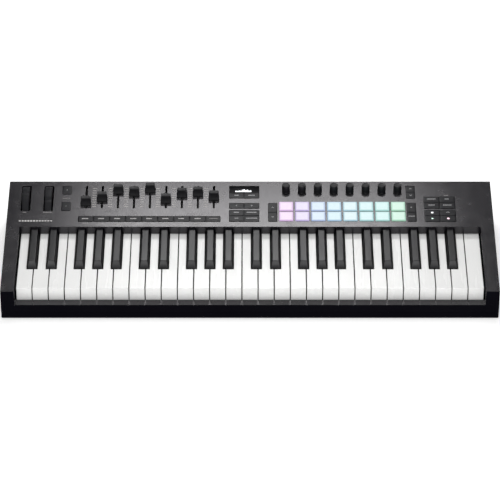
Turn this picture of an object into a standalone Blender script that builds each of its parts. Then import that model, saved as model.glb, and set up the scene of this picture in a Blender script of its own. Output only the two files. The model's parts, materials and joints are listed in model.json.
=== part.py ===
"""A 49-key MIDI controller keyboard: case, keybed, wheels, faders, knobs, pads, buttons and sockets.

The origin is on the ground under the middle of the case. +X is the player's right, -Y faces the
player and +Z is up. Every length below is in millimetres, and the mesh helpers turn it into metres.
Case coordinates run from the middle of the front edge: x across, y towards the back, z up from the
ground. Panel coordinates run from the middle of the panel's front edge: x across, v up the slope of
the panel and w straight out of it.
"""

import math

import bmesh
import bpy
from mathutils import Matrix, Vector

MM = 0.001
GAP = 0.3  # between pieces that rest on each other

# Case
CASE_WIDTH = 727.0
CASE_DEPTH = 260.6
CASE_BOTTOM = 2.0  # the feet hold the case this far off the ground
SEAM_HEIGHT = 12.0  # top of the bottom cover's walls
WALL = 2.5
PANEL_TILT = math.radians(3.6)
CHEEK_FRONT_HEIGHT = 49.6
CHEEK_WIDTH = 20.0
LIP_DEPTH = 12.9
LIP_HEIGHT = 25.4
PANEL_FRONT = 151.0
KEY_SLIT_HEIGHT = 46.5  # bottom of the wall over the white keys
BLACK_SLIT_HEIGHT = 55.8
BLACK_SLIT_SPARE = 0.9
FLOOR = 2.8
FOOT_RADIUS = 8.0
FOOT_HEIGHT = 2.5
FOOT_RECESS = 0.8
FEET = {
    "foot_front_left": (-325.0, 30.0),
    "foot_front_right": (325.0, 30.0),
    "foot_rear_left": (-325.0, 232.0),
    "foot_rear_right": (325.0, 232.0),
}
SCREW_POST_RADIUS = 4.0
SCREW_POSTS = [(side * 353.3, y) for side in (-1, 1) for y in (22.0, 130.0, 246.0)]

# Keys
OCTAVES = 4
WHITE_COUNT = 7 * OCTAVES + 1
WHITE_PITCH = 23.57
KEY_SPACE = 1.5
KEY_FRONT = 14.1
KEY_TOP = 45.4
KEY_SKIRT_BOTTOM = 23.4
TAIL_BOTTOM = 38.0
HEAD_REAR = 57.0
NOTCH_FRONT = 61.9
KEY_WALL = 1.6
KEY_SKIN = 2.5
BLACK_FRONT = 63.1
BLACK_TOP_FRONT = 70.0
BLACK_TOP = 55.2
BLACK_REAR = 156.0
BLACK_HALF = 7.4
BLACK_TOP_HALF = 5.0
BLACK_TAIL_HALF = 4.5
BLACK_SPACE = 0.8
HINGE_Y = 170.0
HINGE_Z = 40.0
HINGE_RADIUS = 2.0
HINGE_NOTCH_RADIUS = 2.6
SINGLE_TAIL_END = 174.0
SET_TAIL_END = 178.0
WHITE_RAIL = ((176.0, 39.0), (180.0, KEY_TOP))
BLACK_RAIL = ((154.8, 46.8), (158.4, 50.0))
NATURALS = ("c", "d", "e", "f", "g", "a", "b")
# Each sharp lies over the joint after this many naturals, this far to the right of it.
SHARPS = {
    "c_sharp": (1, -2.4),
    "d_sharp": (2, 2.3),
    "f_sharp": (4, -3.6),
    "g_sharp": (5, 0.0),
    "a_sharp": (6, 3.5),
}
SINGLE_OCTAVE = 2  # this octave's keys are separate pieces

# Keybed
CHASSIS_HALF = 340.0
CHASSIS_FRONT = 16.5
CHASSIS_REAR = 176.0
CHASSIS_BOTTOM = CASE_BOTTOM + FLOOR + 0.4
CHASSIS_FLOOR = 7.7
GUIDE_HALF = 5.0
GUIDE_SPAN = (24.0, 32.0)
GUIDE_TOP = 33.0
STOP_RAIL = (80.0, 86.0, 32.2)
BOARD_RIBS = ((113.0, 115.5, 24.7), (136.5, 139.0, 24.7))
CONTACT_BOARD = (110.0, 142.0, 25.0, 26.6)
DOME_STRIP = (122.0, 130.0, 34.5)

# Control panel, in panel coordinates
PANEL_SKIN = 2.5
OPENING_RADIUS = 1.2  # at the corners of its openings
WHEEL_RADIUS = 34.0
WHEEL_WIDTH = 10.5
WHEEL_V = 67.5
WHEEL_DEPTH = 20.66
WHEEL_SLOT = (14.5, 38.0, 98.5)
WHEELS = {"pitch_wheel": -336.8, "mod_wheel": -302.8}
WHEEL_NOTCHES = {"pitch_wheel": -2.0, "mod_wheel": -25.0}  # finger notch, degrees from the top
AXLE_RADIUS = 3.0
AXLE_REACH = 3.4
CRADLE_RADIUS = 3.3
CRADLE_THICKNESS = 2.4
CRADLE_TOP = 46.0

FADER_PITCH = 24.0
FADER_FIRST = -246.3
FADER_RESTS = (52.2, 62.2, 80.5, 75.1, 83.8, 57.8, 71.7, 74.5, 64.8)
FADER_SLOT = (3.4, 44.0, 99.0)
FADER_STEM = (2.0, 5.0)
FADER_BASE = (8.0, 5.5)  # half sizes of a cap's foot, and of its top
FADER_TIP = (6.9, 3.25)
FADER_TOP = 15.8
FADER_HOUSING = (9.0, 40.5, 102.5)

KNOB_PITCH = 24.0
KNOB_FIRST = 54.2
KNOB_COUNT = 8
KNOB_V = 82.3
KNOB_RADIUS = 6.1
KNOB_HEIGHT = 15.2
KNOB_HOLE_RADIUS = 3.75
SHAFT_RADIUS = 3.0
ENCODER_SIDE = 11.0

PAD_SIDE = 21.0
PAD_PITCH = 24.0
PAD_FIRST = 54.2
PAD_ROWS = (24.1, 48.1)
PAD_HEIGHT = 1.5

BUTTON_SPACE = 0.4  # round each button
BUTTON_RADIUS = OPENING_RADIUS - BUTTON_SPACE
BUTTON_HEIGHT = 0.8
FLANGE = 0.8  # how far a mat reaches past its opening, under the panel
MAT_TOP = -PANEL_SKIN - GAP
MAT_THICKNESS = 1.0
FADER_SPLITS = [FADER_FIRST + FADER_PITCH * (i + 0.5) for i in range(8)]
# The x edges between the buttons of each group, then the v edges for each of its openings
BUTTON_GROUPS = {
    "octave_up_button": ((-283.0, -269.0), (77.5, 98.5)),
    "octave_down_button": ((-283.0, -269.0), (38.0, 59.5)),
    "fader_buttons": ((-257.0, *FADER_SPLITS, -44.0), (11.5, 25.5)),
    "display_buttons": ((-31.5, -9.0, 14.0), (68.0, 81.0)),
    "mode_buttons": ((-31.5, -9.0, 14.0), (11.5, 26.0, 40.0), (43.0, 57.0)),
    "pad_page_buttons": ((27.0, 41.0), (11.5, 34.0, 57.0)),
    "scene_buttons": ((235.0, 249.0), (11.5, 34.0, 57.5)),
    "knob_page_buttons": ((235.0, 249.0), (67.5, 83.0, 99.0)),
    "edit_buttons": ((261.0, 284.5, 308.0), (43.0, 58.0, 72.5)),
    "transport_buttons": ((261.0, 284.5, 308.0), (11.5, 26.0, 40.0)),
}
WINDOW = ((-31.5, 14.0), (81.0, 99.0))
WINDOW_THICKNESS = 1.5

PANEL_BOARD = ((-290.0, 312.0), (10.0, 103.0), (-8.6, -7.0))
HOUSING_TOP = -3.0
BOARD_POSTS = (
    (-276.0, 68.5), (-262.0, 33.0), (-150.0, 33.0), (-38.0, 33.0), (27.0, 66.0),
    (138.0, 66.0), (255.0, 26.0), (255.0, 92.0), (303.0, 88.0),
)
BOARD_POST_RADIUS = 2.5

# Rear sockets, in case coordinates
SOCKET_BOARD = ((-264.0, -166.0), (226.0, 254.5), (24.0, 25.6))
SOCKET_FACE = CASE_DEPTH - 0.3
USB = (-252.0, 27.4)
JACK = (-222.0, 33.0)
MIDI = (-188.0, 36.0)
STANDOFFS = ((-258.0, 232.0), (-172.0, 232.0))


def clear_scene():
    for obj in list(bpy.data.objects):
        bpy.data.objects.remove(obj, do_unlink=True)


def material(name, colour, roughness, metallic=0.0):
    """A plain plastic, rubber or metal finish."""
    made = bpy.data.materials.new(name)
    made.use_nodes = True
    shader = made.node_tree.nodes["Principled BSDF"]
    shader.inputs["Base Color"].default_value = (*colour, 1.0)
    shader.inputs["Roughness"].default_value = roughness
    shader.inputs["Metallic"].default_value = metallic
    return made


# Solids. Each helper returns a loose object at the world's origin.


def loft(rings):
    """A closed solid through rings of equally many points, with flat ends."""
    bm = bmesh.new()
    loops = [[bm.verts.new(Vector(point) * MM) for point in ring] for ring in rings]
    for low, high in zip(loops, loops[1:]):
        for i in range(len(low)):
            j = (i + 1) % len(low)
            bm.faces.new((low[i], low[j], high[j], high[i]))
    bm.faces.new(loops[0])
    bm.faces.new(loops[-1])
    bmesh.ops.recalc_face_normals(bm, faces=bm.faces)
    mesh = bpy.data.meshes.new("solid")
    bm.to_mesh(mesh)
    bm.free()
    obj = bpy.data.objects.new("solid", mesh)
    bpy.context.collection.objects.link(obj)
    return obj


def rectangle(half_x, half_y, z):
    return [(-half_x, -half_y, z), (half_x, -half_y, z), (half_x, half_y, z), (-half_x, half_y, z)]


def box(low, high):
    (x0, y0, z0), (x1, y1, z1) = low, high
    outline = ((x0, y0), (x1, y0), (x1, y1), (x0, y1))
    return loft([[(x, y, z) for x, y in outline] for z in (z0, z1)])


def rounded_box(low, high, radius, steps=2):
    """A box whose upright edges are rounded."""
    (x0, y0, z0), (x1, y1, z1) = low, high
    centres = (
        (x1 - radius, y1 - radius), (x0 + radius, y1 - radius),
        (x0 + radius, y0 + radius), (x1 - radius, y0 + radius),
    )
    outline = []
    for quarter, (x, y) in enumerate(centres):
        for i in range(steps + 1):
            angle = math.pi / 2 * (quarter + i / steps)
            outline.append((x + radius * math.cos(angle), y + radius * math.sin(angle)))
    return loft([[(x, y, z) for x, y in outline] for z in (z0, z1)])


def prism_along_x(outline, x0, x1):
    """An outline of (y, z) points, drawn out from x0 to x1."""
    return loft([[(x, y, z) for y, z in outline] for x in (x0, x1)])


def turned(profile, segments, centre=(0.0, 0.0), axis="Z"):
    """A profile of (radius, height) points turned round an axis through the centre."""
    rings = []
    for radius, height in profile:
        ring = []
        for i in range(segments):
            angle = 2 * math.pi * (i + 0.5) / segments
            a = centre[0] + radius * math.cos(angle)
            b = centre[1] + radius * math.sin(angle)
            ring.append({"X": (height, a, b), "Y": (a, height, b), "Z": (a, b, height)}[axis])
        rings.append(ring)
    return loft(rings)


def joined(parts):
    """One object of several solids that don't meet."""
    bm = bmesh.new()
    for part in parts:
        bm.from_mesh(part.data)
        bpy.data.objects.remove(part, do_unlink=True)
    mesh = bpy.data.meshes.new("solids")
    bm.to_mesh(mesh)
    bm.free()
    obj = bpy.data.objects.new("solids", mesh)
    bpy.context.collection.objects.link(obj)
    return obj


def combine(target, others, operation):
    """The target with each of the others cut from it or added to it, one after another."""
    for other in others:
        boolean = target.modifiers.new("boolean", "BOOLEAN")
        boolean.operation = operation
        boolean.object = other
        boolean.solver = "EXACT"
    bpy.context.view_layer.update()
    graph = bpy.context.evaluated_depsgraph_get()
    target.data = bpy.data.meshes.new_from_object(target.evaluated_get(graph))
    target.modifiers.clear()
    for other in others:
        bpy.data.objects.remove(other, do_unlink=True)
    return target


def union(target, *others):
    return combine(target, others, "UNION")


def carve(target, *cutters):
    return combine(target, cutters, "DIFFERENCE")


def finish(obj, name, finish_material, parent, location=(0.0, 0.0, 0.0), smooth=False):
    """Name a solid, give it its material and put it in its place."""
    obj.name = name
    obj.data.name = name
    obj.data.materials.clear()
    obj.data.materials.append(finish_material)
    if smooth:
        obj.data.shade_smooth()
        obj.data.set_sharp_from_angle(angle=math.radians(35))
    obj.parent = parent
    obj.location = Vector(location) * MM
    return obj


def empty(name, parent=None, location=(0.0, 0.0, 0.0), tilt=0.0):
    made = bpy.data.objects.new(name, None)
    bpy.context.collection.objects.link(made)
    made.parent = parent
    made.location = Vector(location) * MM
    made.rotation_euler = (tilt, 0.0, 0.0)
    return made


# Places


def panel_height(y):
    """The height of the case's sloping top, y behind the front face."""
    return CHEEK_FRONT_HEIGHT + y * math.tan(PANEL_TILT)


def panel_to_case(obj):
    """Move a solid drawn in panel coordinates to case coordinates."""
    shift = Matrix.Translation(Vector((0.0, PANEL_FRONT, panel_height(PANEL_FRONT))) * MM)
    obj.data.transform(shift @ Matrix.Rotation(PANEL_TILT, 4, "X"))
    return obj


def joint_x(count):
    """The x of the joint after this many white keys."""
    return (count - WHITE_COUNT / 2) * WHITE_PITCH


def sharp_x(octave, sharp):
    naturals, offset = SHARPS[sharp]
    return joint_x(7 * octave + naturals) + offset


def fader_x(index):
    return FADER_FIRST + FADER_PITCH * index


def knob_x(index):
    return KNOB_FIRST + KNOB_PITCH * index


# Case


def panel_opening(x_edges, v_edges, radius=OPENING_RADIUS, steps=2):
    low = (x_edges[0], v_edges[0], -10.0)
    high = (x_edges[-1], v_edges[-1], 10.0)
    return rounded_box(low, high, radius, steps)


def panel_openings():
    """Cutters for everything that comes through the panel."""
    cutters = []
    for name, (x_edges, *runs) in BUTTON_GROUPS.items():
        if name != "display_buttons":
            cutters += [panel_opening(x_edges, v_edges) for v_edges in runs]
    display_x, button_v = BUTTON_GROUPS["display_buttons"]
    cutters.append(panel_opening(display_x, (button_v[0], WINDOW[1][1])))
    slot_width, slot_start, slot_end = WHEEL_SLOT
    for x in WHEELS.values():
        cutters.append(panel_opening((x - slot_width / 2, x + slot_width / 2), (slot_start, slot_end)))
    slot_width, slot_start, slot_end = FADER_SLOT
    for i in range(len(FADER_RESTS)):
        x_edges = (fader_x(i) - slot_width / 2, fader_x(i) + slot_width / 2)
        cutters.append(panel_opening(x_edges, (slot_start, slot_end), 0.48 * slot_width, 3))
    for i in range(KNOB_COUNT):
        hole = [(KNOB_HOLE_RADIUS, -10.0), (KNOB_HOLE_RADIUS, 10.0)]
        cutters.append(turned(hole, 12, (knob_x(i), KNOB_V)))
    half = PAD_SIDE / 2 + BUTTON_SPACE
    for v in PAD_ROWS:
        for i in range(KNOB_COUNT):
            x = PAD_FIRST + PAD_PITCH * i
            cutters.append(panel_opening((x - half, x + half), (v - half, v + half)))
    return panel_to_case(joined(cutters))


def black_key_slits():
    """Cutters with the black keys' taper."""
    y0, y1 = PANEL_FRONT - 1, PANEL_FRONT + WALL + 1
    levels = (
        (BLACK_HALF + BLACK_SLIT_SPARE, KEY_SLIT_HEIGHT - 1),
        (BLACK_TOP_HALF + BLACK_SLIT_SPARE, BLACK_SLIT_HEIGHT),
    )
    cutters = []
    for octave in range(OCTAVES):
        for sharp in SHARPS:
            x = sharp_x(octave, sharp)
            rings = []
            for half, z in levels:
                rings.append([(x - half, y0, z), (x + half, y0, z), (x + half, y1, z), (x - half, y1, z)])
            cutters.append(loft(rings))
    return joined(cutters)


def socket_holes():
    reach = (CASE_DEPTH - WALL - 1, CASE_DEPTH + 1)
    usb = box((USB[0] - 5.2, reach[0], USB[1] - 2.4), (USB[0] + 5.2, reach[1], USB[1] + 2.4))
    jack = turned([(5.0, reach[0]), (5.0, reach[1])], 16, JACK, "Y")
    midi = turned([(8.4, reach[0]), (8.4, reach[1])], 24, MIDI, "Y")
    return joined([usb, jack, midi])


def make_top_cover(finish_material, parent):
    half = CASE_WIDTH / 2
    bottom = SEAM_HEIGHT + GAP
    inner_half = half - WALL
    back = CASE_DEPTH
    cheek_inside = half - CHEEK_WIDTH
    panel_box = [
        (PANEL_FRONT, bottom), (PANEL_FRONT, panel_height(PANEL_FRONT)),
        (back, panel_height(back)), (back, bottom),
    ]
    cheek_end = PANEL_FRONT + WALL / 2
    cheek = [
        (0.0, bottom), (0.0, panel_height(0.0)),
        (cheek_end, panel_height(cheek_end)), (cheek_end, bottom),
    ]
    cover = prism_along_x(panel_box, -half, half)
    left = prism_along_x(cheek, -half, -cheek_inside)
    right = prism_along_x(cheek, cheek_inside, half)
    lip_half = cheek_inside + WALL / 2
    lip = box((-lip_half, 0.0, bottom), (lip_half, LIP_DEPTH, LIP_HEIGHT))
    union(cover, left, right, lip)

    room = [
        (PANEL_FRONT + WALL, 0.0), (PANEL_FRONT + WALL, panel_height(PANEL_FRONT + WALL) - WALL),
        (back - WALL, panel_height(back - WALL) - WALL), (back - WALL, 0.0),
    ]
    cheek_room = [
        (WALL, 0.0), (WALL, panel_height(WALL) - WALL),
        (PANEL_FRONT + 2 * WALL, panel_height(PANEL_FRONT + 2 * WALL) - WALL),
        (PANEL_FRONT + 2 * WALL, 0.0),
    ]
    cheek_rooms = joined([
        prism_along_x(cheek_room, -inner_half, -cheek_inside - WALL),
        prism_along_x(cheek_room, cheek_inside + WALL, inner_half),
    ])
    lip_room = box(
        (WALL - cheek_inside, WALL, 0.0), (cheek_inside - WALL, LIP_DEPTH - WALL, LIP_HEIGHT - WALL)
    )
    key_slit = box(
        (-cheek_inside, PANEL_FRONT - 1, 0.0),
        (cheek_inside, PANEL_FRONT + WALL + 1, KEY_SLIT_HEIGHT),
    )
    room = prism_along_x(room, -inner_half, inner_half)
    carve(cover, room, cheek_rooms, lip_room, key_slit, black_key_slits())

    posts = []
    for x, y in SCREW_POSTS:
        top = panel_height(y) - WALL / 2
        low = CASE_BOTTOM + FLOOR + GAP
        posts.append(turned([(SCREW_POST_RADIUS, low), (SCREW_POST_RADIUS, top)], 8, (x, y)))
    board_posts = []
    for x, v in BOARD_POSTS:
        low = PANEL_BOARD[2][1] + GAP
        post = turned([(BOARD_POST_RADIUS, low), (BOARD_POST_RADIUS, -PANEL_SKIN / 2)], 8, (x, v))
        board_posts.append(panel_to_case(post))
    union(cover, joined(posts), joined(board_posts))
    carve(cover, panel_openings(), socket_holes())
    return finish(cover, "top_cover", finish_material, parent)


def wheel_centre():
    """The wheels' axle in case coordinates, as (y, z)."""
    cos, sin = math.cos(PANEL_TILT), math.sin(PANEL_TILT)
    y = PANEL_FRONT + WHEEL_V * cos + WHEEL_DEPTH * sin
    z = panel_height(PANEL_FRONT) + WHEEL_V * sin - WHEEL_DEPTH * cos
    return y, z


def axle_cradle(x0):
    """An upright with a round-bottomed notch that a wheel's axle rests in."""
    y, z = wheel_centre()
    half = 3 * CRADLE_RADIUS
    foot = CASE_BOTTOM + FLOOR / 2
    notch = []
    for i in range(7):
        angle = math.pi * i / 6
        notch.append((y + CRADLE_RADIUS * math.cos(angle), z - CRADLE_RADIUS * math.sin(angle)))
    outline = [
        (y - half, foot), (y + half, foot), (y + half, CRADLE_TOP), (y + CRADLE_RADIUS, CRADLE_TOP),
        *notch, (y - CRADLE_RADIUS, CRADLE_TOP), (y - half, CRADLE_TOP),
    ]
    return prism_along_x(outline, x0, x0 + CRADLE_THICKNESS)


def make_bottom_cover(finish_material, parent):
    half = CASE_WIDTH / 2
    cover = box((-half, 0.0, CASE_BOTTOM), (half, CASE_DEPTH, SEAM_HEIGHT))
    inside = box(
        (WALL - half, WALL, CASE_BOTTOM + FLOOR), (half - WALL, CASE_DEPTH - WALL, SEAM_HEIGHT + 1)
    )
    recesses = []
    for x, y in FEET.values():
        rim = FOOT_RADIUS + 0.4
        profile = [(rim, CASE_BOTTOM - 1), (rim, CASE_BOTTOM + FOOT_RECESS)]
        recesses.append(turned(profile, 16, (x, y)))
    carve(cover, inside, joined(recesses))
    uprights = []
    for x in WHEELS.values():
        reach = WHEEL_WIDTH / 2 + 0.8
        uprights.append(axle_cradle(x - reach - CRADLE_THICKNESS))
        uprights.append(axle_cradle(x + reach))
    for x, y in STANDOFFS:
        profile = [(3.0, CASE_BOTTOM + FLOOR / 2), (3.0, SOCKET_BOARD[2][0] - GAP)]
        uprights.append(turned(profile, 8, (x, y)))
    union(cover, joined(uprights))
    return finish(cover, "bottom_cover", finish_material, parent)


def make_feet(finish_material, parent):
    for name, (x, y) in FEET.items():
        profile = [(FOOT_RADIUS - 0.5, 0.0), (FOOT_RADIUS, 0.5), (FOOT_RADIUS, FOOT_HEIGHT)]
        finish(turned(profile, 16), name, finish_material, parent, (x, y, 0.0), smooth=True)


# Keybed. Each key is drawn from the hinge line: y and z are counted from it.


def tail_profile(front, rear):
    """The side of a key's tail, with the notch that sits over the hinge rail."""
    bottom = TAIL_BOTTOM - HINGE_Z
    top = KEY_TOP - HINGE_Z
    radius = HINGE_NOTCH_RADIUS
    arc = []
    for i in range(7):
        angle = math.pi * (1 - i / 6)
        arc.append((radius * math.cos(angle), radius * math.sin(angle)))
    return [
        (front, bottom), (-radius, bottom), *arc, (radius, bottom),
        (rear, bottom), (rear, top), (front, top),
    ]


def white_limits(index):
    """The sides of a white key's head and of its narrower tail, as x."""
    left = joint_x(index) + KEY_SPACE / 2
    right = joint_x(index + 1) - KEY_SPACE / 2
    tail_left, tail_right = left, right
    octave, place = divmod(index, 7)
    if octave < OCTAVES:
        for sharp, (naturals, _) in SHARPS.items():
            reach = BLACK_HALF + BLACK_SPACE
            if naturals == place:
                tail_left = sharp_x(octave, sharp) + reach
            if naturals == place + 1:
                tail_right = sharp_x(octave, sharp) - reach
    return left, right, tail_left, tail_right


def white_keys(indices, x_origin, tail_end):
    """Hollow-headed white keys, and their rail where there are several."""
    solids, pockets = [], []
    low, top = KEY_SKIRT_BOTTOM - HINGE_Z, KEY_TOP - HINGE_Z
    front = KEY_FRONT - HINGE_Y
    for index in indices:
        left, right, tail_left, tail_right = (x - x_origin for x in white_limits(index))
        head = box((left, front, low), (right, HEAD_REAR - HINGE_Y, top))
        neck = box(
            (left, HEAD_REAR - HINGE_Y - 1, TAIL_BOTTOM - HINGE_Z), (right, NOTCH_FRONT - HINGE_Y, top)
        )
        tail = prism_along_x(
            tail_profile(NOTCH_FRONT - HINGE_Y - 1, tail_end - HINGE_Y), tail_left, tail_right
        )
        solids.append(union(head, neck, tail))
        pockets.append(box(
            (left + KEY_WALL, front + KEY_SKIN, low - 1),
            (right - KEY_WALL, HEAD_REAR - HINGE_Y - KEY_WALL, top - KEY_SKIN),
        ))
    keys = joined(solids)
    if len(indices) > 1:
        (y0, z0), (y1, z1) = WHITE_RAIL
        left = white_limits(indices[0])[2] - x_origin
        right = white_limits(indices[-1])[3] - x_origin
        rail = box((left, y0 - HINGE_Y, z0 - HINGE_Z), (right, y1 - HINGE_Y, z1 - HINGE_Z))
        union(keys, rail)
    return carve(keys, joined(pockets))


def black_keys(centres, x_origin):
    """Tapered black keys, and their rail where there are several."""
    solids = []
    low, shoulder, top = (z - HINGE_Z for z in (TAIL_BOTTOM, KEY_TOP, BLACK_TOP))
    rear = BLACK_REAR - HINGE_Y
    for centre in centres:
        x = centre - x_origin
        rings = []
        for half, front, z in (
            (BLACK_HALF, BLACK_FRONT, low),
            (BLACK_HALF, BLACK_FRONT, shoulder),
            (BLACK_TOP_HALF, BLACK_TOP_FRONT, top),
        ):
            y = front - HINGE_Y
            rings.append([(x - half, y, z), (x + half, y, z), (x + half, rear, z), (x - half, rear, z)])
        tail = prism_along_x(
            tail_profile(rear - 5, SINGLE_TAIL_END - HINGE_Y), x - BLACK_TAIL_HALF, x + BLACK_TAIL_HALF
        )
        solids.append(union(loft(rings), tail))
    keys = joined(solids)
    if len(centres) > 1:
        (y0, z0), (y1, z1) = BLACK_RAIL
        left = centres[0] - x_origin - BLACK_TAIL_HALF
        right = centres[-1] - x_origin + BLACK_TAIL_HALF
        rail = box((left, y0 - HINGE_Y, z0 - HINGE_Z), (right, y1 - HINGE_Y, z1 - HINGE_Z))
        union(keys, rail)
    return keys


def place_keys(keys, name, finish_material, parent, x):
    finish(keys, name, finish_material, parent, (x, HINGE_Y, HINGE_Z))


def make_keys(white_material, black_material, parent):
    for octave in range(OCTAVES):
        first = 7 * octave
        centres = [sharp_x(octave, sharp) for sharp in SHARPS]
        middle = joint_x(first + 3.5)
        if octave == SINGLE_OCTAVE:
            for i, natural in enumerate(NATURALS):
                x = joint_x(first + i + 0.5)
                key = white_keys([first + i], x, SINGLE_TAIL_END)
                place_keys(key, f"key_{natural}", white_material, parent, x)
            for sharp, x in zip(SHARPS, centres):
                place_keys(black_keys([x], x), f"key_{sharp}", black_material, parent, x)
            continue
        whites = white_keys(range(first, first + 7), middle, SET_TAIL_END)
        place_keys(whites, f"white_keys_octave_{octave + 1}", white_material, parent, middle)
        blacks = black_keys(centres, middle)
        place_keys(blacks, f"black_keys_octave_{octave + 1}", black_material, parent, middle)
    x = joint_x(WHITE_COUNT - 0.5)
    high_c = white_keys([WHITE_COUNT - 1], x, SINGLE_TAIL_END)
    place_keys(high_c, "key_high_c", white_material, parent, x)


def make_key_chassis(finish_material, parent):
    """A floor with a stop rail, ribs under the contact board, the hinge rail and a guide per key."""
    outline = [(CHASSIS_FRONT, CHASSIS_BOTTOM), (CHASSIS_FRONT, CHASSIS_FLOOR)]
    for y0, y1, top in (STOP_RAIL, *BOARD_RIBS):
        outline += [(y0, CHASSIS_FLOOR), (y0, top), (y1, top), (y1, CHASSIS_FLOOR)]
    outline.append((HINGE_Y - HINGE_RADIUS, CHASSIS_FLOOR))
    for i in range(7):
        angle = math.pi * (1 - i / 6)
        outline.append((HINGE_Y + HINGE_RADIUS * math.cos(angle), HINGE_Z + HINGE_RADIUS * math.sin(angle)))
    outline.append((HINGE_Y + HINGE_RADIUS, CHASSIS_FLOOR))
    outline += [(CHASSIS_REAR, CHASSIS_FLOOR), (CHASSIS_REAR, CHASSIS_BOTTOM)]
    chassis = prism_along_x(outline, -CHASSIS_HALF, CHASSIS_HALF)
    guides = []
    for index in range(WHITE_COUNT):
        x = joint_x(index + 0.5)
        low = (x - GUIDE_HALF, GUIDE_SPAN[0], CHASSIS_FLOOR - 1)
        guides.append(box(low, (x + GUIDE_HALF, GUIDE_SPAN[1], GUIDE_TOP)))
    union(chassis, joined(guides))
    finish(chassis, "key_chassis", finish_material, parent)


def make_contact_board(finish_material, parent):
    """The key contacts' board with the ridge of rubber domes that the keys press."""
    y0, y1, z0, z1 = CONTACT_BOARD
    ridge_y0, ridge_y1, ridge_top = DOME_STRIP
    outline = [
        (y0, z0), (y0, z1), (ridge_y0, z1), (ridge_y0 + 2, ridge_top), (ridge_y1 - 2, ridge_top),
        (ridge_y1, z1), (y1, z1), (y1, z0),
    ]
    board = prism_along_x(outline, -CHASSIS_HALF, CHASSIS_HALF)
    finish(board, "key_contact_board", finish_material, parent)


# Controls, drawn in panel coordinates round each control's own origin on the panel's surface


def make_wheels(finish_material, parent):
    """Wheels drawn round their axle, each with a finger notch across its rim."""
    half = WHEEL_WIDTH / 2
    for name, x in WHEELS.items():
        profile = [
            (WHEEL_RADIUS - 0.8, -half), (WHEEL_RADIUS, 0.8 - half),
            (WHEEL_RADIUS, half - 0.8), (WHEEL_RADIUS - 0.8, half),
        ]
        wheel = turned(profile, 60, axis="X")
        reach = half + AXLE_REACH
        axle = turned([(AXLE_RADIUS, -reach), (AXLE_RADIUS, reach)], 12, axis="X")
        union(wheel, axle)
        angle = math.radians(WHEEL_NOTCHES[name])
        reach = WHEEL_RADIUS + 3.8
        centre = (reach * math.sin(angle), reach * math.cos(angle))
        notch = turned([(5.5, -half - 1), (5.5, half + 1)], 24, centre, "X")
        carve(wheel, notch)
        finish(wheel, name, finish_material, parent, (x, WHEEL_V, -WHEEL_DEPTH), smooth=True)


def make_fader_caps(finish_material, parent):
    for i, rest in enumerate(FADER_RESTS):
        levels = ((FADER_BASE, 1.5), (FADER_BASE, 4.0), (FADER_TIP, FADER_TOP))
        cap = loft([rectangle(half_x, half_v, w) for (half_x, half_v), w in levels])
        half_x, half_v = FADER_STEM[0] / 2, FADER_STEM[1] / 2
        stem = box((-half_x, -half_v, -6.0), (half_x, half_v, 2.5))
        union(cap, stem)
        finish(cap, f"fader_cap_{i + 1}", finish_material, parent, (fader_x(i), rest, 0.0))


def make_knobs(finish_material, parent):
    profile = [
        (SHAFT_RADIUS, HOUSING_TOP + 0.4), (SHAFT_RADIUS, 0.5), (KNOB_RADIUS, 0.5),
        (KNOB_RADIUS - 0.2, KNOB_HEIGHT - 0.6), (KNOB_RADIUS - 0.8, KNOB_HEIGHT),
    ]
    for i in range(KNOB_COUNT):
        place = (knob_x(i), KNOB_V, 0.0)
        finish(turned(profile, 20), f"knob_{i + 1}", finish_material, parent, place, smooth=True)


def mat(x_edges, runs, space, height):
    """Raised keys between the edges of each run, joined by a thin web under the panel."""
    tops = []
    for v_edges in runs:
        for x0, x1 in zip(x_edges, x_edges[1:]):
            for v0, v1 in zip(v_edges, v_edges[1:]):
                low = (x0 + space, v0 + space, MAT_TOP - MAT_THICKNESS / 2)
                tops.append(rounded_box(low, (x1 - space, v1 - space, height), BUTTON_RADIUS))
    flange = FLANGE + BUTTON_SPACE - space
    web = box(
        (x_edges[0] - flange, runs[0][0] - flange, MAT_TOP - MAT_THICKNESS),
        (x_edges[-1] + flange, runs[-1][-1] + flange, MAT_TOP),
    )
    return union(web, joined(tops))


def make_buttons(finish_material, parent):
    for name, (x_edges, *runs) in BUTTON_GROUPS.items():
        x = (x_edges[0] + x_edges[-1]) / 2
        v = (runs[0][0] + runs[-1][-1]) / 2
        runs = [[e - v for e in v_edges] for v_edges in runs]
        shape = mat([e - x for e in x_edges], runs, BUTTON_SPACE, BUTTON_HEIGHT)
        finish(shape, name, finish_material, parent, (x, v, 0.0))


def make_pad_mat(finish_material, parent):
    x = PAD_FIRST + PAD_PITCH * (KNOB_COUNT - 1) / 2
    v = sum(PAD_ROWS) / 2
    x_edges = [PAD_PITCH * (i - KNOB_COUNT / 2) for i in range(KNOB_COUNT + 1)]
    v_edges = [-PAD_PITCH, 0.0, PAD_PITCH]
    space = (PAD_PITCH - PAD_SIDE) / 2
    shape = mat(x_edges, [v_edges], space, PAD_HEIGHT)
    finish(shape, "pad_mat", finish_material, parent, (x, v, 0.0))


def make_display_window(finish_material, parent):
    (x0, x1), (v0, v1) = WINDOW
    half_x = (x1 - x0) / 2 - GAP
    half_v = (v1 - v0) / 2 - GAP
    low = (-half_x, -half_v, -0.1 - WINDOW_THICKNESS)
    window = rounded_box(low, (half_x, half_v, -0.1), OPENING_RADIUS - GAP)
    finish(window, "display_window", finish_material, parent, ((x0 + x1) / 2, (v0 + v1) / 2, 0.0))


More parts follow.
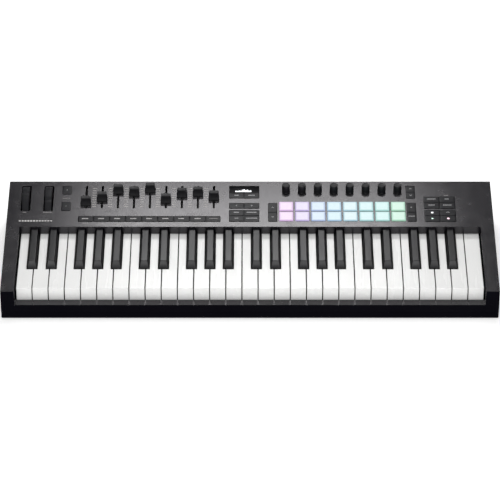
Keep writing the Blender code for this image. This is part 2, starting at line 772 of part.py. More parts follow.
def make_panel_board(finish_material, parent):
    """The board under the panel with its slide potentiometers, encoders and display module."""
    (x0, x1), (v0, v1), (w0, w1) = PANEL_BOARD
    board = box((x0, v0, w0), (x1, v1, w1))
    parts, slots = [], []
    width, start, end = FADER_HOUSING
    for i in range(len(FADER_RESTS)):
        x = fader_x(i)
        parts.append(box((x - width / 2, start, w1 - 0.5), (x + width / 2, end, HOUSING_TOP)))
        slots.append(box(
            (x - FADER_STEM[0] / 2 - 0.3, FADER_SLOT[1], w1 + 0.5),
            (x + FADER_STEM[0] / 2 + 0.3, FADER_SLOT[2], HOUSING_TOP + 1),
        ))
    half = ENCODER_SIDE / 2
    for i in range(KNOB_COUNT):
        x = knob_x(i)
        parts.append(box((x - half, KNOB_V - half, w1 - 0.5), (x + half, KNOB_V + half, HOUSING_TOP)))
    (wx0, wx1), (wv0, wv1) = WINDOW
    parts.append(box((wx0 + 2, wv0 + 2, w1 - 0.5), (wx1 - 2, wv1 - 1, -WINDOW_THICKNESS - 0.6)))
    union(board, joined(parts))
    carve(board, joined(slots))
    finish(board, "panel_board", finish_material, parent)


def make_socket_board(finish_material, parent):
    """A small board with a USB socket, a pedal jack and a five-pin socket facing the back."""
    (x0, x1), (y0, y1), (z0, z1) = SOCKET_BOARD
    board = box((x0, y0, z0), (x1, y1, z1))
    inside = z1 - 0.5
    usb = box((USB[0] - 4.6, 248.0, inside), (USB[0] + 4.6, SOCKET_FACE, USB[1] + 1.8))
    jack_body = box((JACK[0] - 8.0, 232.0, inside), (JACK[0] + 8.0, 254.0, JACK[1] + 7.5))
    jack_collar = turned([(4.5, 253.0), (4.5, SOCKET_FACE)], 16, JACK, "Y")
    midi_body = box((MIDI[0] - 10.0, 242.0, inside), (MIDI[0] + 10.0, 254.0, MIDI[1] + 10.0))
    midi_face = turned([(7.9, 253.0), (7.9, SOCKET_FACE)], 24, MIDI, "Y")
    union(board, usb, jack_body, jack_collar, midi_body, midi_face)
    carve(
        board,
        box((USB[0] - 4.2, 251.0, USB[1] - 1.3), (USB[0] + 4.2, CASE_DEPTH, USB[1] + 1.3)),
        turned([(3.3, 236.0), (3.3, CASE_DEPTH)], 16, JACK, "Y"),
        turned([(6.7, 248.0), (6.7, CASE_DEPTH)], 24, MIDI, "Y"),
    )
    finish(board, "rear_socket_board", finish_material, parent)


def main():
    clear_scene()
    case_plastic = material("case_plastic", (0.045, 0.044, 0.047), 0.45)
    bottom_plastic = material("bottom_plastic", (0.018, 0.018, 0.019), 0.5)
    white_plastic = material("white_key_plastic", (0.86, 0.86, 0.84), 0.22)
    black_plastic = material("black_key_plastic", (0.022, 0.022, 0.024), 0.35)
    control_plastic = material("control_plastic", (0.02, 0.02, 0.021), 0.4)
    button_rubber = material("button_rubber", (0.03, 0.03, 0.032), 0.55)
    pad_silicone = material("pad_silicone", (0.7, 0.75, 0.85), 0.5)
    foot_rubber = material("foot_rubber", (0.012, 0.012, 0.012), 0.8)
    window_plastic = material("window_plastic", (0.004, 0.004, 0.005), 0.08)
    board_laminate = material("board_laminate", (0.01, 0.09, 0.04), 0.45)
    chassis_plastic = material("chassis_plastic", (0.03, 0.03, 0.03), 0.6)

    front_edge = empty("front_edge", location=(0.0, -CASE_DEPTH / 2, 0.0))
    panel_edge = empty(
        "panel_edge", front_edge, (0.0, PANEL_FRONT, panel_height(PANEL_FRONT)), PANEL_TILT
    )

    make_top_cover(case_plastic, front_edge)
    make_bottom_cover(bottom_plastic, front_edge)
    make_feet(foot_rubber, front_edge)
    make_key_chassis(chassis_plastic, front_edge)
    make_contact_board(board_laminate, front_edge)
    make_keys(white_plastic, black_plastic, front_edge)
    make_wheels(control_plastic, panel_edge)
    make_fader_caps(control_plastic, panel_edge)
    make_knobs(control_plastic, panel_edge)
    make_buttons(button_rubber, panel_edge)
    make_pad_mat(pad_silicone, panel_edge)
    make_display_window(window_plastic, panel_edge)
    make_panel_board(board_laminate, panel_edge)
    make_socket_board(board_laminate, front_edge)


main()
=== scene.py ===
"""Looks of the 49-key MIDI keyboard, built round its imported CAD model.

The panel's pieces are drawn in panel coordinates, in millimetres: x across from the middle, v up
the slope from the panel's front edge and w straight out of the panel. PANEL turns them into the
frame.
"""

import json
import math
import random

import bmesh
import bpy
from mathutils import Matrix, Vector

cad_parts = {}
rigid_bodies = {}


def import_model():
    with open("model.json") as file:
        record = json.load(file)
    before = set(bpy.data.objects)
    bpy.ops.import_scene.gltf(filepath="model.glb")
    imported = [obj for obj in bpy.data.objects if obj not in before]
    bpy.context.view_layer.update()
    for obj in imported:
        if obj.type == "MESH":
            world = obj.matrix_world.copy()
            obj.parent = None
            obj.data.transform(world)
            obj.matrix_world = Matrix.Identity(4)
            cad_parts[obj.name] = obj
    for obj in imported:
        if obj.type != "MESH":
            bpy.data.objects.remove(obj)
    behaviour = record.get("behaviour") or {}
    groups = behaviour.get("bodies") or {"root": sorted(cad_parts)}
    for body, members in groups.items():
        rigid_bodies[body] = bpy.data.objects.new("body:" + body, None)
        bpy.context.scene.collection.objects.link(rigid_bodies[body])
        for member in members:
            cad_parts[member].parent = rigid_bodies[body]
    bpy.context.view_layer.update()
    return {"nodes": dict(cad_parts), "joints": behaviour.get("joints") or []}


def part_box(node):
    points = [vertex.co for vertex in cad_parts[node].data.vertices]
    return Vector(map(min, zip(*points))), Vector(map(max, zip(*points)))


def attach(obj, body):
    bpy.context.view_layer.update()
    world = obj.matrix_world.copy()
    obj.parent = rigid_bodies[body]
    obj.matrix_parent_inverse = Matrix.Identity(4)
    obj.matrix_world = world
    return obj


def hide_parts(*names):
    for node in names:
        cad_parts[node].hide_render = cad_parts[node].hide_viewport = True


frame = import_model()

MM = 0.001
NODES = frame["nodes"]
JOINTS = {joint["child"]: joint for joint in frame["joints"]}
CASE = "case"
CASE_LOW, CASE_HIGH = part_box("top_cover")
PANEL_FRONT = 151.0  # from the case's front face
FADER_AREA = (40.0, 102.0)  # the slots' reach up the panel
NEAR = 0.0002  # metres within which a point counts as on a face
KNOB_NODES = sorted(name for name in NODES if name.startswith("knob_") and name[5:].isdigit())
FADER_NODES = sorted(name for name in NODES if name.startswith("fader_cap_"))
FIRST_FADER_X, LAST_FADER_X = (
    (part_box(name)[0].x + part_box(name)[1].x) / 2 / MM for name in (FADER_NODES[0], FADER_NODES[-1])
)
FADER_STEP = (LAST_FADER_X - FIRST_FADER_X) / (len(FADER_NODES) - 1)
WHITE_NODES = [
    n for n in NODES
    if n.startswith("white_keys") or n == "key_high_c" or n in {f"key_{k}" for k in "abcdefg"}
]
BLACK_NODES = [n for n in NODES if n.startswith("black_keys") or n.endswith("_sharp")]


def panel_matrix():
    """Panel millimetres to the frame's metres, from the first knob's axis and place."""
    knob = JOINTS["knob_1"]
    out = Vector(knob["axis"]).normalized()
    slope = out.cross(Vector((1, 0, 0)))
    spot = Vector(knob["pos_m"])
    front = CASE_LOW.y + PANEL_FRONT * MM
    origin = spot - slope * ((spot.y - front) / slope.y)
    origin.x = 0.0
    axes = Matrix(((1, slope.x, out.x), (0, slope.y, out.y), (0, slope.z, out.z))).to_4x4()
    return Matrix.Translation(origin) @ axes @ Matrix.Scale(MM, 4)


PANEL = panel_matrix()
CASE_MM = Matrix.Translation(Vector((0.0, CASE_LOW.y, 0.0))) @ Matrix.Scale(MM, 4)


def panel_point(point):
    return PANEL.inverted() @ Vector(point)


# Materials


class Shader:
    """A Principled material and short ways to feed its sockets from procedural nodes."""

    def __init__(self, name, colour, roughness, metallic=0.0, specular=0.5):
        self.made = bpy.data.materials.new(name)
        self.made.use_nodes = True
        self.tree = self.made.node_tree
        self.main = self.tree.nodes["Principled BSDF"]
        self.main.inputs["Base Color"].default_value = (*colour, 1.0)
        self.main.inputs["Roughness"].default_value = roughness
        self.main.inputs["Metallic"].default_value = metallic
        self.main.inputs["Specular IOR Level"].default_value = specular
        self.place = self.node("ShaderNodeTexCoord").outputs["Object"]

    def node(self, kind, **settings):
        made = self.tree.nodes.new(kind)
        for key, value in settings.items():
            if key in made.inputs:
                made.inputs[key].default_value = value
            else:
                setattr(made, key, value)
        return made

    def link(self, output, target):
        self.tree.links.new(output, target)

    def noise(self, scale, detail=3.0, stretch=(1.0, 1.0, 1.0)):
        mapping = self.node("ShaderNodeMapping")
        mapping.inputs["Scale"].default_value = stretch
        self.link(self.place, mapping.inputs["Vector"])
        texture = self.node("ShaderNodeTexNoise", Scale=scale, Detail=detail)
        self.link(mapping.outputs["Vector"], texture.inputs["Vector"])
        return texture.outputs["Fac"]

    def ramp(self, value, low, high, at=(0.3, 0.7)):
        """The value's middle stretch spread from one colour or number to another."""
        ramp = self.node("ShaderNodeValToRGB")
        first, last = ramp.color_ramp.elements
        first.position, last.position = at
        first.color = (*low, 1.0) if isinstance(low, tuple) else (low, low, low, 1.0)
        last.color = (*high, 1.0) if isinstance(high, tuple) else (high, high, high, 1.0)
        self.link(value, ramp.inputs["Fac"])
        return ramp.outputs["Color"]

    def colour(self, value, low, high, at=(0.3, 0.7)):
        self.link(self.ramp(value, low, high, at), self.main.inputs["Base Color"])

    def rough(self, value, low, high, at=(0.3, 0.7)):
        self.link(self.ramp(value, low, high, at), self.main.inputs["Roughness"])

    def bump(self, *layers):
        """Layers of (value, strength, distance in metres), one on top of another."""
        last = None
        for value, strength, distance in layers:
            bump = self.node("ShaderNodeBump", Strength=strength, Distance=distance)
            self.link(value, bump.inputs["Height"])
            if last is not None:
                self.link(last, bump.inputs["Normal"])
            last = bump.outputs["Normal"]
        self.link(last, self.main.inputs["Normal"])


def moulded(name, dark, light, roughness, specular=0.5, relief=0.25, tint=1.0):
    """Textured moulded plastic: a fine grain, slow shade changes and slightly uneven gloss."""
    shader = Shader(name, light, roughness, specular=specular)
    shader.main.inputs["Specular Tint"].default_value = (1.0, tint, 1.0, 1.0)
    shader.colour(shader.noise(9.0, 4.0), dark, light)
    shader.rough(shader.noise(60.0, 5.0), roughness - 0.03, roughness + 0.04)
    shader.bump((shader.noise(2600.0, 2.0), relief, 0.00006))
    return shader.made


def rubber(name, dark, light, roughness=0.75, specular=0.3):
    """Matt rubber with a dusty, fine-pored face."""
    shader = Shader(name, light, roughness, specular=specular)
    shader.colour(shader.noise(700.0, 4.0), dark, light)
    pores, dents = shader.noise(3500.0, 2.0), shader.noise(220.0, 3.0)
    shader.bump((pores, 0.3, 0.00005), (dents, 0.15, 0.00008))
    shader.main.inputs["Sheen Weight"].default_value = 0.04
    shader.main.inputs["Sheen Roughness"].default_value = 0.5
    return shader.made


def key_plastic(name, dark, light, roughness, coat, specular=0.5):
    """Dense moulded key plastic with a soft polish that is a little worn along its length."""
    shader = Shader(name, light, roughness, specular=specular)
    streaks = shader.noise(90.0, 4.0, (1.0, 0.08, 1.0))
    shader.colour(shader.noise(14.0, 3.0), dark, light)
    shader.rough(streaks, roughness - 0.05, roughness + 0.07)
    shader.bump((shader.noise(1900.0, 2.0), 0.08, 0.00004))
    shader.main.inputs["Coat Weight"].default_value = coat
    shader.main.inputs["Coat Roughness"].default_value = 0.12
    return shader.made


def printed(name, colour, glow=0.0):
    """Screen-printed ink, or a lit legend where it glows."""
    shader = Shader(name, colour, 0.5, specular=0.2)
    thin = tuple(0.86 * c for c in colour)
    shader.colour(shader.noise(1400.0, 3.0), thin, colour)
    if glow:
        lit = shader.ramp(shader.noise(500.0), thin, colour)
        shader.link(lit, shader.main.inputs["Emission Color"])
        shader.main.inputs["Emission Strength"].default_value = glow
    return shader.made


def brushed_metal(name, colour, roughness):
    shader = Shader(name, colour, roughness, metallic=1.0)
    brushing = (1.0, 1.0, 0.1)
    shader.rough(shader.noise(900.0, 3.0, brushing), roughness - 0.08, roughness + 0.1)
    shader.bump((shader.noise(2500.0, 2.0, brushing), 0.1, 0.00003))
    return shader.made


def laminate(name):
    """Green circuit board with a faint weave and paler tracks."""
    shader = Shader(name, (0.01, 0.09, 0.04), 0.35)
    weave = shader.node("ShaderNodeTexBrick", Scale=160.0)
    weave.inputs["Color1"].default_value = (0.008, 0.075, 0.032, 1.0)
    weave.inputs["Color2"].default_value = (0.012, 0.1, 0.045, 1.0)
    weave.inputs["Mortar"].default_value = (0.02, 0.14, 0.07, 1.0)
    shader.link(shader.place, weave.inputs["Vector"])
    shader.link(weave.outputs["Color"], shader.main.inputs["Base Color"])
    shader.bump((weave.outputs["Fac"], 0.2, 0.00004), (shader.noise(1200.0), 0.1, 0.00003))
    return shader.made


PAD_GLOW = 0.735


def lit_silicone(name, centre, edge):
    """Frosted silicone lit from below: bright in the middle, deeper in colour along its sides."""
    shader = Shader(name, (0.62, 0.62, 0.64), 0.45, specular=0.25)
    shader.colour(shader.noise(260.0, 3.0), (0.16, 0.16, 0.17), (0.20, 0.20, 0.21))
    shader.bump((shader.noise(2600.0, 2.0), 0.15, 0.00004))
    generated = shader.node("ShaderNodeTexCoord").outputs["Generated"]
    centred = shader.node("ShaderNodeVectorMath", operation="SUBTRACT")
    centred.inputs[1].default_value = (0.5, 0.5, 0.0)
    shader.link(generated, centred.inputs[0])
    split = shader.node("ShaderNodeSeparateXYZ")
    shader.link(centred.outputs[0], split.inputs[0])
    reach = []
    for axis in "XY":
        absolute = shader.node("ShaderNodeMath", operation="ABSOLUTE")
        shader.link(split.outputs[axis], absolute.inputs[0])
        reach.append(absolute.outputs[0])
    furthest = shader.node("ShaderNodeMath", operation="MAXIMUM")
    shader.link(reach[0], furthest.inputs[0])
    shader.link(reach[1], furthest.inputs[1])
    colour = shader.ramp(furthest.outputs[0], centre, edge, (0.36, 0.5))
    shader.link(colour, shader.main.inputs["Emission Color"])
    shader.main.inputs["Emission Strength"].default_value = PAD_GLOW
    return shader.made


# Painted shade: near-black colours for the case's sides and the bottom cover, darker and duller than
# the case plastic.
PAINTED_SHADE_COLOURS = ((0.0012, 0.0010, 0.0028), (0.0018, 0.0016, 0.0036))  # darkest and lightest shade
MATERIALS = {
    "case": moulded(
        "case_plastic", (0.0070, 0.0065, 0.0088), (0.0092, 0.0086, 0.0110), 0.245,
        relief=0.1, tint=0.97,
    ),
    # Painted shade: the case's upright sides and the walls under its openings take this darker,
    # duller copy of the case plastic.
    "side": moulded("case_side_painted_shade", *PAINTED_SHADE_COLOURS, 0.7, 0.03),
    # The bottom cover's black plastic, darkened to the same painted shade as the case's sides.
    "bottom": moulded("bottom_plastic", *PAINTED_SHADE_COLOURS, 0.7, 0.03),
    "white": key_plastic("white_key_plastic", (0.86, 0.86, 0.85), (0.90, 0.90, 0.89), 0.24, 0.25),
    "black": key_plastic(
        "black_key_plastic", (0.005, 0.0048, 0.0062), (0.008, 0.0077, 0.0095), 0.33, 0.0,
        specular=0.4,
    ),
    # Painted shade: the black keys' sides and their parts below the shoulder take this darker, duller
    # copy of the key plastic.
    "black_key_shaded_side": moulded(
        "black_key_side_painted_shade", (0.001, 0.001, 0.0018), (0.0016, 0.0016, 0.0026), 0.6, 0.03
    ),
    "wheel": moulded("wheel_rubber", (0.006, 0.006, 0.0078), (0.009, 0.009, 0.0112), 0.55, 0.2),
    "control": moulded(
        "control_plastic", (0.0045, 0.0045, 0.006), (0.006, 0.006, 0.0075), 0.42, 0.35
    ),
    # Painted highlight: the caps' and knobs' tops take this lighter copy of the control plastic, for
    # the light they catch.
    "control_painted_top": moulded(
        "control_top_painted_highlight", (0.02, 0.02, 0.022), (0.03, 0.03, 0.032), 0.5, 0.2
    ),
    "button": rubber("button_rubber", (0.005, 0.005, 0.007), (0.009, 0.009, 0.011), 0.42, 0.16),
    "foot": rubber("foot_rubber", (0.010, 0.010, 0.010), (0.016, 0.016, 0.016), 0.85),
    "window": moulded(
        "window_plastic", (0.002, 0.002, 0.003), (0.004, 0.004, 0.005), 0.3, 0.03, relief=0.0
    ),
    "module": moulded("module_plastic", (0.003, 0.003, 0.0035), (0.006, 0.006, 0.0065), 0.7, 0.1),
    "board": laminate("board_laminate"),
    "chassis": moulded("chassis_plastic", (0.02, 0.02, 0.02), (0.03, 0.03, 0.03), 0.6, 0.3),
    "ink": printed("ink_pale", (0.62, 0.61, 0.6)),
    "ink_faint": printed("ink_faint", (0.30, 0.29, 0.285)),
    "ink_scale": printed("ink_scale", (0.52, 0.50, 0.48)),
    "ink_button": printed("ink_button", (0.50, 0.50, 0.51)),
    "glow_white": printed("glow_white", (0.95, 0.97, 1.0), 1.1),
    "glow_green": printed("glow_green", (0.70, 1.0, 0.85), 1.0),
    "glow_red": printed("glow_red", (1.0, 0.75, 0.85), 1.0),
    "metal": brushed_metal("socket_nickel", (0.62, 0.62, 0.63), 0.3),
    "screw": brushed_metal("screw_steel", (0.05, 0.05, 0.052), 0.42),
    "hole": moulded("socket_inside", (0.004, 0.004, 0.004), (0.006, 0.006, 0.006), 0.5, 0.3),
}


# Shapes, added to a bmesh in millimetres


def rounded_rect(x0, x1, y0, y1, radius, steps=4):
    """An outline with quarter-round corners, anticlockwise."""
    radius = max(0.0001, min(radius, (x1 - x0) / 2 - 0.0001, (y1 - y0) / 2 - 0.0001))
    centres = (
        (x1 - radius, y1 - radius), (x0 + radius, y1 - radius),
        (x0 + radius, y0 + radius), (x1 - radius, y0 + radius),
    )
    outline = []
    for quarter, (cx, cy) in enumerate(centres):
        for i in range(steps + 1):
            angle = math.pi / 2 * (quarter + i / steps)
            outline.append((cx + radius * math.cos(angle), cy + radius * math.sin(angle)))
    return outline


def circle(radius, steps, centre=(0.0, 0.0)):
    turn = 2 * math.pi / steps
    return [
        (centre[0] + radius * math.cos(turn * i), centre[1] + radius * math.sin(turn * i))
        for i in range(steps)
    ]


def bridge(bm, low, high):
    """Faces between two loops of as many vertices."""
    for i in range(len(low)):
        j = (i + 1) % len(low)
        bm.faces.new((low[i], low[j], high[j], high[i]))


def add_rings(bm, rings):
    """A closed solid through rings of 3-D points, with a face at each end."""
    loops = [[bm.verts.new(point) for point in ring] for ring in rings]
    for low, high in zip(loops, loops[1:]):
        bridge(bm, low, high)
    bm.faces.new(list(reversed(loops[0])))
    bm.faces.new(loops[-1])


def add_tube(bm, rings):
    """A solid through rings of 3-D points, whose last ring joins the first one."""
    loops = [[bm.verts.new(point) for point in ring] for ring in rings]
    for low, high in zip(loops, loops[1:] + loops[:1]):
        bridge(bm, low, high)


def add_block(bm, x0, x1, y0, y1, z0, z1, corner, edge, crown=0.0):
    """A block with round corners, a rounded top edge and, with a crown, a slightly domed top."""
    steps = 3
    rings = [[(x, y, z0) for x, y in rounded_rect(x0, x1, y0, y1, corner)]]
    for i in range(steps + 1):
        angle = math.pi / 2 * i / steps
        inset = edge * (1 - math.cos(angle))
        z = z1 - edge + edge * math.sin(angle)
        outline = rounded_rect(x0 + inset, x1 - inset, y0 + inset, y1 - inset, corner - inset)
        rings.append([(x, y, z) for x, y in outline])
    if crown:
        for share in (0.35, 0.7):
            inset = edge + share * 0.4 * min(x1 - x0, y1 - y0)
            outline = rounded_rect(x0 + inset, x1 - inset, y0 + inset, y1 - inset, corner)
            rings.append([(x, y, z1 + crown * share) for x, y in outline])
    add_rings(bm, rings)


def add_flat(bm, outline, z, thickness=0.04):
    """A thin printed or lit shape that stands a hair above the face under it."""
    add_rings(bm, [[(x, y, z) for x, y in outline], [(x, y, z + thickness) for x, y in outline]])


def add_line(bm, points, width, z):
    """A mitred strip along a line of points."""
    left, right = [], []
    for i, point in enumerate(points):
        here = Vector(point)
        before = Vector(points[max(i - 1, 0)])
        after = Vector(points[min(i + 1, len(points) - 1)])
        incoming = (here - before).normalized() if i else (after - here).normalized()
        outgoing = (after - here).normalized() if i < len(points) - 1 else incoming
        along = (incoming + outgoing).normalized()
        side = Vector((-along.y, along.x))
        reach = width / 2 / max(0.3, along.dot(incoming))
        left.append(here + side * reach)
        right.append(here - side * reach)
    add_flat(bm, [tuple(p) for p in right + left[::-1]], z)


def mesh_piece(name, bm, looks, body, matrix=PANEL, smooth=30.0, replaces=(), weighted=False):
    """The bmesh as an object in the frame, riding on a body. The looks name its materials."""
    bmesh.ops.recalc_face_normals(bm, faces=bm.faces)
    mesh = bpy.data.meshes.new(name)
    bm.to_mesh(mesh)
    bm.free()
    mesh.transform(matrix)
    mesh.shade_smooth()
    mesh.set_sharp_from_angle(angle=math.radians(smooth))
    obj = bpy.data.objects.new(name, mesh)
    bpy.context.scene.collection.objects.link(obj)
    looks = [looks] if isinstance(looks, str) else looks
    for look in looks:
        mesh.materials.append(MATERIALS[look])
    if weighted:
        obj.modifiers.new("normals", "WEIGHTED_NORMAL").keep_sharp = True
    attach(obj, body)
    if replaces:
        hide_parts(*replaces)
    return obj


def top_cells(node):
    """A mat's raised tops in panel coordinates, each as (x0, x1, v0, v1, w), back row first."""
    mesh = NODES[node].data
    points = [panel_point(v.co) for v in mesh.vertices]
    height = max(p.z for p in points)
    groups = []
    for polygon in mesh.polygons:
        corners = [points[i] for i in polygon.vertices]
        if min(p.z for p in corners) < height - 0.05:
            continue
        spots = {(round(p.x, 2), round(p.y, 2)) for p in corners}
        touching = [group for group in groups if group & spots]
        groups = [group for group in groups if not group & spots]
        groups.append(spots.union(*touching))
    cells = []
    for group in groups:
        across, along = zip(*group)
        cells.append((min(across), max(across), min(along), max(along), height))
    return sorted(cells, key=lambda c: (round(-c[3]), c[0]))


# CAD nodes with softened edges


def cad_bmesh(node):
    """A CAD node as a bmesh of large flat faces, its split corners joined again."""
    bm = bmesh.new()
    bm.from_mesh(NODES[node].data)
    bmesh.ops.remove_doubles(bm, verts=bm.verts, dist=0.00001)
    bmesh.ops.dissolve_limit(bm, angle_limit=math.radians(1.0), verts=bm.verts, edges=bm.edges)
    return bm


def soften(bm, chosen, width, segments=3):
    """Round the sharp edges that chosen(middle, edge) picks, to a width in millimetres."""
    edges = []
    for edge in bm.edges:
        if len(edge.link_faces) != 2 or edge.calc_face_angle(0.0) < math.radians(28):
            continue
        if chosen((edge.verts[0].co + edge.verts[1].co) / 2, edge):
            edges.append(edge)
    bmesh.ops.bevel(
        bm, geom=edges, offset=width * MM, segments=segments, profile=0.5,
        affect="EDGES", clamp_overlap=True,
    )


def convex(edge):
    return edge.calc_face_angle_signed(0.0) > 0


def upright(edge):
    along = edge.verts[1].co - edge.verts[0].co
    return abs(along.normalized().z) > 0.9


def on_sides(point, low, high):
    """Whether a point lies on one of a box's four upright sides."""
    at_side = min(abs(point.x - low.x), abs(point.x - high.x)) < NEAR
    at_end = min(abs(point.y - low.y), abs(point.y - high.y)) < NEAR
    return at_side or at_end


def make_case_top():
    bm = cad_bmesh("top_cover")
    low, high = CASE_LOW, CASE_HIGH

    def outer(middle, edge):
        return on_sides(middle, low, high) and middle.z > low.z + NEAR and convex(edge)

    def upright_corner(middle, edge):
        return outer(middle, edge) and upright(edge)

    def opening(middle, edge):
        spot = panel_point(middle)
        across = FIRST_FADER_X - 3 < spot.x < LAST_FADER_X + 3
        by_fader = across and FADER_AREA[0] < spot.y < FADER_AREA[1]
        return spot.z > -1.0 and not by_fader and convex(edge)

    soften(bm, upright_corner, 2.2, 4)
    soften(bm, outer, 0.6)
    soften(bm, opening, 0.35, 2)
    # Painted shade: the upright outer faces and the walls just under the openings take the darker
    # side material.
    for face in bm.faces:
        middle = face.calc_center_median()
        spot = panel_point(middle)
        in_opening = 0.3 < -spot.z < 2.6 and spot.y > 1.0
        if abs(face.normal.z) < 0.5 and (on_sides(middle, low, high) or in_opening):
            face.material_index = 1
    mesh_piece("case_top", bm, ["case", "side"], CASE, Matrix.Identity(4), 40, ["top_cover"], True)


def make_case_bottom():
    bm = cad_bmesh("bottom_cover")
    low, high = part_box("bottom_cover")

    def outer(middle, edge):
        return on_sides(middle, low, high) and convex(edge)

    def upright_corner(middle, edge):
        return outer(middle, edge) and upright(edge)

    soften(bm, upright_corner, 2.2, 4)
    soften(bm, outer, 1.0)
    # The bottom cover takes the same painted shade as the case's sides.
    mesh_piece("case_bottom", bm, "bottom", CASE, Matrix.Identity(4), 40, ["bottom_cover"], True)


BLACK_KEY_RISE = 10.2  # from the shoulder of a black key to its top


def make_keys():
    for node in WHITE_NODES:
        bm = cad_bmesh(node)
        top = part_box(node)[1].z
        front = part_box(node)[0].y

        def shown(middle, edge):
            on_top = middle.z > top - 0.0001
            down_front = middle.y < front + 0.0001
            return (on_top or down_front) and convex(edge)

        soften(bm, shown, 0.55)
        mesh_piece(f"{node}_moulding", bm, "white", node, Matrix.Identity(4), 40, [node], True)
    for node in BLACK_NODES:
        bm = cad_bmesh(node)
        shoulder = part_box(node)[1].z - BLACK_KEY_RISE * MM

        def above_shoulder(middle, edge):
            return middle.z > shoulder + 0.0006 and convex(edge)

        soften(bm, above_shoulder, 1.0, 4)
        # Painted shade: the sides and the parts below the shoulder take the darker side material.
        for face in bm.faces:
            if abs(face.normal.x) > 0.6 or face.calc_center_median().z < shoulder:
                face.material_index = 1
        looks = ["black", "black_key_shaded_side"]
        mesh_piece(f"{node}_moulding", bm, looks, node, Matrix.Identity(4), 40, [node], True)


# Controls


WHEEL_NOTCHES = {"pitch_wheel": -5.6, "mod_wheel": -28.6}  # degrees from upright, back is plus


def make_wheels():
    """Ribbed rims with a smooth finger notch, turned round each wheel's axle."""
    ribs, per_rib = 84, 4
    steps = ribs * per_rib
    half, radius, rim = 5.25, 34.0, 1.3
    notch_depth, notch_spread, rib_depth, smooth_spread = 1.65, 4.6, 0.22, 11.0
    profile = [(3.0, -half + 0.4), (radius - 7.0, -half + 0.4), (radius - 6.0, -half)]
    for i in range(5):
        angle = math.pi / 2 * i / 4
        profile.append((radius - rim + rim * math.sin(angle), -half + rim - rim * math.cos(angle)))
    profile += [(r, -x) for r, x in reversed(profile)]
    for node, notch_at in WHEEL_NOTCHES.items():
        axle = Vector(JOINTS[node]["pos_m"])
        bm = bmesh.new()
        rings = []
        for r, x in profile:
            ring = []
            for i in range(steps):
                degrees = 360.0 * i / steps
                away = abs((degrees - notch_at + 180.0) % 360.0 - 180.0)
                here = r
                if r > radius - 1.5:
                    dip = notch_depth * math.exp(-((away / notch_spread) ** 2))
                    ribbed = i % per_rib in (0, 1) and away > smooth_spread
                    here = r - dip - (rib_depth if ribbed else 0.0)
                angle = math.radians(degrees)
                ring.append((x, here * math.sin(angle), here * math.cos(angle)))
            rings.append(ring)
        add_rings(bm, rings)
        turn = Matrix.Translation(axle) @ Matrix.Scale(MM, 4)
        mesh_piece(f"{node}_rim", bm, "wheel", node, turn, 35, [node])
        bm = bmesh.new()
        for side in (-1, 1):
            ends = (side * (half - 0.2), side * (half + 3.4))
            add_rings(bm, [[(x, y, z) for y, z in circle(3.0, 24)] for x in ends])
        mesh_piece(f"{node}_axle", bm, "wheel", node, turn, 35)


def make_fader_caps():
    """Caps with hollowed front and back and a dished top, each on its stem."""
    base_x, base_v, top_x, top_v = 8.0, 5.5, 6.9, 3.25
    foot, skirt, top = 1.5, 3.6, 15.8
    for node in FADER_NODES:
        vertices = [panel_point(v.co) for v in NODES[node].data.vertices]
        x = (min(p.x for p in vertices) + max(p.x for p in vertices)) / 2
        v = (min(p.y for p in vertices) + max(p.y for p in vertices)) / 2

        def level(w, half_x, half_v, corner=1.3):
            outline = rounded_rect(x - half_x, x + half_x, v - half_v, v + half_v, corner)
            return [(a, b, w) for a, b in outline]

        bm = bmesh.new()
        add_rings(bm, [
            level(foot, base_x - 0.4, base_v - 0.4),
            level(foot + 0.4, base_x, base_v),
            level(foot + 0.7, base_x, base_v),
        ])
        mesh_piece(f"{node}_skirt", bm, "control", node, PANEL, 32)
        rings = [level(foot + 0.6, base_x, base_v), level(skirt, base_x, base_v)]
        for i in range(1, 9):
            share = 0.92 * i / 8
            hollow = 0.5 * math.sin(math.pi * min(1.0, 1.08 * share))
            half_x = base_x + (top_x - base_x) * share
            half_v = base_v + (top_v - base_v) * share ** 0.8 - hollow
            rings.append(level(skirt + (top - skirt) * share, half_x, half_v))
        for i in range(1, 4):
            angle = math.pi / 2 * i / 3
            cut = 0.7 * (1 - math.cos(angle))
            rings.append(level(top - 0.8 + 0.8 * math.sin(angle), top_x - cut, top_v - cut))
        rings.append(level(top - 0.12, top_x - 1.1, top_v - 1.1, 0.9))
        rings.append(level(top - 0.3, top_x - 2.0, top_v - 1.8, 0.6))
        bm = bmesh.new()
        add_rings(bm, rings)
        # Painted highlight: the cap's top faces take the lighter top material.
        mark_top(bm, top - 0.5)
        mesh_piece(f"{node}_grip", bm, ["control", "control_painted_top"], node, PANEL, 32, [node])
        bm = bmesh.new()
        add_block(bm, x - 1.0, x + 1.0, v - 2.5, v + 2.5, -6.0, 2.0, 0.3, 0.1)
        mesh_piece(f"{node}_stem", bm, "metal", node)


def mark_top(bm, height):
    """The second material for the faces above a height."""
    for face in bm.faces:
        if min(vertex.co.z for vertex in face.verts) > height:
            face.material_index = 1


def fluted_piece(spot, profile):
    """A profile of (radius, w, fluted) turned about a spot on the panel."""
    flutes, per_flute, depth = 40, 4, 0.16
    steps = flutes * per_flute
    rings = []
    for r, w, fluted in profile:
        ring = []
        for i in range(steps):
            angle = 2 * math.pi * i / steps
            here = r - (depth if fluted and i % per_flute == 0 else 0.0)
            ring.append((spot.x + here * math.cos(angle), spot.y + here * math.sin(angle), w))
        rings.append(ring)
    bm = bmesh.new()
    add_rings(bm, rings)
    return bm


